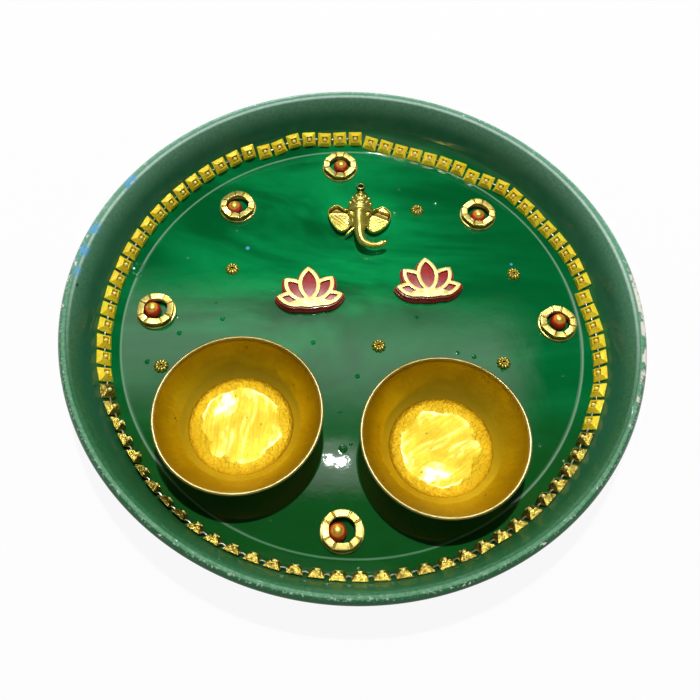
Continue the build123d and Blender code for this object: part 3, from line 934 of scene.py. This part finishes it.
# Place along y and radius of the crown's tiers; place, radius, count and size of their beads
CROWN_AXIS = -0.8
CROWN = ((1.9, 4.9), (2.2, 5.75), (2.6, 6.1), (3.2, 6.1), (3.6, 5.75), (3.85, 5.3), (4.1, 5.5), (4.7, 5.65),
         (5.2, 5.4), (5.5, 4.9), (6.6, 4.85), (7.9, 4.5), (8.4, 4.75), (8.8, 4.65), (9.1, 4.0), (10.7, 3.45),
         (11.0, 3.6), (11.4, 3.4), (11.7, 2.75), (12.9, 2.35), (13.6, 2.2), (14.4, 1.6), (15.1, 0.9))
CROWN_BEADS = ((6.9, 4.7, 6, 0.8), (10.0, 3.7, 5, 0.7), (12.5, 2.4, 3, 0.6))
LOOP_CENTRE = (-0.4, 16.3, 0.75)
LOOP_RADIUS, LOOP_WIDTH, LOOP_HEIGHT = 1.28, 0.44, 0.6
VOXEL = 0.13 * MM


def spline(points, count, closed=False):
    """Catmull-Rom curve through points of any dimension."""
    before, after = (points[-1:], points[:2]) if closed else (points[:1], points[-1:])
    row = before + points + after
    out = []
    for a, b, c, d in zip(row, row[1:], row[2:], row[3:]):
        for i in range(count):
            t = i / count
            out.append(tuple(
                0.5 * (2 * q + (r - p) * t + (2 * p - 5 * q + 4 * r - s) * t * t + (3 * q - p - 3 * r + s) * t ** 3)
                for p, q, r, s in zip(a, b, c, d)))
    return out if closed else out + [points[-1]]


def ball(centre, radii, rows=14, count=28):
    """An ellipsoid."""
    loops = []
    for i in range(rows + 1):
        angle = -math.pi / 2 + math.pi * i / rows
        ring = circle(max(math.cos(angle), 0) if 0 < i < rows else 0, math.sin(angle), count)
        loops.append([tuple(c + r * v for c, r, v in zip(centre, radii, p)) for p in ring])
    return skin(loops)


def tube(points, count):
    """A round tube along points of x, y, z and radius, with blunt ends."""
    loops = []
    for i, (x, y, z, radius) in enumerate(points):
        ahead, behind = Vector(points[min(i + 1, len(points) - 1)][:3]), Vector(points[max(i - 1, 0)][:3])
        run = (ahead - behind).normalized()
        side = run.cross(Vector((0, 0, 1))).normalized()
        loops.append(hoop(Vector((x, y, z)), side, side.cross(run), radius, count))
    return skin(loops)


def ear(outline, mirror):
    """A cupped ear: bright raised rim, deep fold along its top and a ribbed panel below it."""
    edge = spline(outline, 8, closed=True)
    mx = sum(p[0] for p in edge) / len(edge)
    my = sum(p[1] for p in edge) / len(edge)

    def shrunk(share):
        return [(mx + (x - mx) * share, my + (y - my) * share) for x, y in edge]

    def panel(x, y):
        out = x * mirror
        fold = y - (2.0 - 0.06 * (out - 8.0) if mirror < 0 else 1.3 - 0.36 * (out - 8.0))
        groove = smooth_step(-1.2, -0.8, fold) * smooth_step(2.6, 1.7, fold) * smooth_step(3.6, 4.6, out)
        lip = math.exp(-((fold + 1.45) / 0.35) ** 2) * smooth_step(3.6, 4.6, out)
        ribs = 0.5 + 0.5 * math.cos((fold * 0.75 - 0.55 * (out - 8.0)) * 2 * math.pi / 1.15)
        inside = smooth_step(3.4, 4.8, out) * smooth_step(-1.6, -2.2, fold)
        return 2.1 - 1.15 * groove + 0.35 * lip + 0.34 * ribs * inside

    loops = [[(x, y, height) for x, y in shrunk(share)] for share, height in EAR_RIM]
    for step in range(1, 15):
        loops.append([(x, y, panel(x, y)) for x, y in shrunk(EAR_PANEL_SHARE * (1 - step / 15))])
    loops.append([(mx, my, panel(mx, my))])
    return skin(loops)


def charm():
    low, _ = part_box("elephant_charm")
    centre = (low.x / MM + CHARM_MIDDLE[0], low.y / MM + CHARM_MIDDLE[1], FLOOR_TOP)

    def on_crown(y, radius, a):
        return radius * math.cos(a), y, CROWN_AXIS + radius * math.sin(a)

    # Head, cheeks, brows and eyes
    shells = [ball((0, 0.2, -0.4), (5.0, 6.0, 4.9))]
    for sign in (-1, 1):
        shells += [ball((sign * 2.3, -3.6, 2.0), (1.7, 2.0, 2.2)), ball((sign * 3.3, 0.9, 2.9), (1.5, 0.8, 1.0)),
                   ball((sign * 3.35, -0.25, 3.3), (0.62, 0.85, 0.75))]
    shells.append(skin([[on_crown(y, radius, a) for a in turns(48)] for y, radius in CROWN]))
    for y, radius, count, size in CROWN_BEADS:
        for i in range(count):
            middle = on_crown(y, radius, math.radians(30 + 120 * i / (count - 1)))
            shells.append(ball(middle, (size, size, size), 8, 12))
    shells += [ear(LEFT_EAR, -1), ear(RIGHT_EAR, 1)]
    # Trunk, its tip, one tusk and the hanging loop
    shells += [tube(spline(TRUNK, 6), 24), ball((10.55, -12.75, 3.85), (0.85, 0.8, 0.85)), tube(TUSK, 12)]
    loops = []
    for a in turns(28):
        loop = []
        for b in turns(12):
            reach = LOOP_RADIUS + LOOP_WIDTH * math.cos(b)
            loop.append((LOOP_CENTRE[0] + reach * math.cos(a), LOOP_CENTRE[1] + reach * math.sin(a),
                         LOOP_CENTRE[2] + LOOP_HEIGHT * math.sin(b)))
        loops.append(loop)
    shells.append(skin(loops, closed=True))
    shells = [([(x, y, max(z, 0.0)) for x, y, z in points], sides) for points, sides in shells]
    obj = piece("elephant_head_cast", shells, CHARM, ["elephant_charm"], origin=centre, sharp=180)
    # Its forms are melted into one casting
    remesh = obj.modifiers.new("remesh", "REMESH")
    remesh.mode = "VOXEL"
    remesh.voxel_size = VOXEL
    remesh.use_smooth_shade = True
    settle = obj.modifiers.new("settle", "SMOOTH")
    settle.factor, settle.iterations = 0.5, 2
    mesh = bpy.data.meshes.new_from_object(obj.evaluated_get(bpy.context.evaluated_depsgraph_get()))
    obj.modifiers.clear()
    old, obj.data = obj.data, mesh
    mesh.name = "elephant_head_cast"
    bpy.data.meshes.remove(old)
    mesh.polygons.foreach_set("use_smooth", [True] * len(mesh.polygons))


charm()


# ---- stage, light and camera ----
GROUND = [(-3, -3, 0), (3, -3, 0), (3, 3, 0), (-3, 3, 0)]
GROUND_GREY = 0.8
# Share of the floor that is plain white to the eye; the rest keeps the shadow
WHITE_SHARE = 0.92
# Strengths of the world's light
ZENITH_LIGHT = 0.02
HORIZON_LIGHT = 0.48
BACK_LIGHT = 0.6
PANEL_LIGHT = 1.9
GLOW_LIGHT = 2.4
# Soft edges of the panel and the glow, to the far side and to the right, at a height of 1
PANEL_ALONG, PANEL_BESIDE = ((0.36, 0.50), (0.66, 0.52)), ((-0.47, -0.36), (0.31, 0.22))
GLOW_ALONG, GLOW_BESIDE = ((0.275, 0.335), (0.395, 0.350)), ((-0.12, -0.04), (0.10, 0.03))
# The camera, fitted to the photograph: place in millimetres, angles in degrees
LENS, SENSOR = 37.03, 36.0
CAMERA_PLACE = (-0.77, -130.1, 230.28)
CAMERA_PITCH = 62.35
CAMERA_ROLL = 4.19


def stage():
    """A white floor with a faint shadow."""
    mesh = bpy.data.meshes.new("ground")
    mesh.from_pydata(GROUND, [], [(0, 1, 2, 3)])
    ground = bpy.data.objects.new("ground", mesh)
    scene.collection.objects.link(ground)
    material = bpy.data.materials.new("ground_white")
    material.use_nodes = True
    build = Nodes(material.node_tree)
    build.tree.nodes.clear()
    rays = build.add("ShaderNodeLightPath").outputs
    seen = build.larger(rays["Is Camera Ray"], rays["Is Glossy Ray"])
    seen = build.larger(seen, rays["Is Transmission Ray"])
    glow = build.add("ShaderNodeEmission", {"Color": (1, 1, 1, 1), "Strength": 1.0})
    matte = build.add("ShaderNodeBsdfDiffuse", {"Color": (GROUND_GREY, GROUND_GREY, GROUND_GREY, 1)})
    white = build.times(seen, WHITE_SHARE)
    mix = build.add("ShaderNodeMixShader", {"Fac": white, 1: matte.outputs[0], 2: glow.outputs[0]})
    build.add("ShaderNodeOutputMaterial", {"Surface": mix.outputs[0]})
    mesh.materials.append(material)


def world():
    """A dim studio, pale at the horizon and behind the camera, with a soft panel and a small glow overhead."""
    made = bpy.data.worlds.new("studio")
    scene.world = made
    made.use_nodes = True
    build = Nodes(made.node_tree)
    back = build.tree.nodes["Background"]
    east, north, rise = build.parts(build.add("ShaderNodeTexCoord").outputs["Generated"])
    high = build.larger(rise, 0.05)
    along, beside = build.math("DIVIDE", north, high), build.math("DIVIDE", east, high)
    panel = build.times(build.band(along, *PANEL_ALONG), build.band(beside, *PANEL_BESIDE))
    glow = build.times(build.band(along, *GLOW_ALONG), build.band(beside, *GLOW_BESIDE))
    behind = build.step(build.math("ADD", build.times(north, -0.71), build.times(rise, 0.71)), 0.87, 0.99)
    level = build.times(build.step(rise, 0.72, 0.2), HORIZON_LIGHT)
    level = build.times(level, build.rest(build.times(build.step(north, -0.5, -0.9), 0.5)))
    for light, strength in ((behind, BACK_LIGHT), (panel, PANEL_LIGHT), (glow, GLOW_LIGHT)):
        level = build.math("ADD", level, build.times(light, strength))
    # White to the eye, whatever its light
    seen = build.add("ShaderNodeLightPath").outputs["Is Camera Ray"]
    build.feed(back.inputs["Strength"], build.larger(build.math("ADD", level, ZENITH_LIGHT), seen))
    back.inputs["Color"].default_value = (1, 1, 1, 1)


def lamp(name, place, target, size, power):
    light = bpy.data.lights.new(name, "AREA")
    light.shape, light.size, light.energy = "DISK", size, power
    obj = bpy.data.objects.new(name, light)
    scene.collection.objects.link(obj)
    obj.location = place
    obj.rotation_euler = (Vector(target) - Vector(place)).to_track_quat("-Z", "Y").to_euler()


def camera():
    data = bpy.data.cameras.new("camera")
    data.sensor_width, data.lens = SENSOR, LENS
    obj = bpy.data.objects.new("camera", data)
    scene.collection.objects.link(obj)
    pitch, roll = math.radians(CAMERA_PITCH), math.radians(CAMERA_ROLL)
    ahead = Vector((0, math.cos(pitch), -math.sin(pitch)))
    right = Vector((1, 0, 0))
    up = Vector((0, math.sin(pitch), math.cos(pitch)))
    x_axis = right * math.cos(roll) + up * math.sin(roll)
    y_axis = up * math.cos(roll) - right * math.sin(roll)
    matrix = Matrix((x_axis, y_axis, -ahead)).transposed().to_4x4()
    matrix.translation = Vector(CAMERA_PLACE) * MM
    obj.matrix_world = matrix
    scene.camera = obj


stage()
world()
lamp("key_left", (-0.030, 0.367, 1.22), (0, -0.02, 0), 0.015, 6.2)
lamp("key_right", (-0.004, 0.365, 1.22), (0, -0.02, 0), 0.015, 6.2)
lamp("far_fill", (-0.25, 1.4, 0.62), (0, 0, 0), 0.45, 5)
camera()
scene.view_settings.view_transform = "Standard"
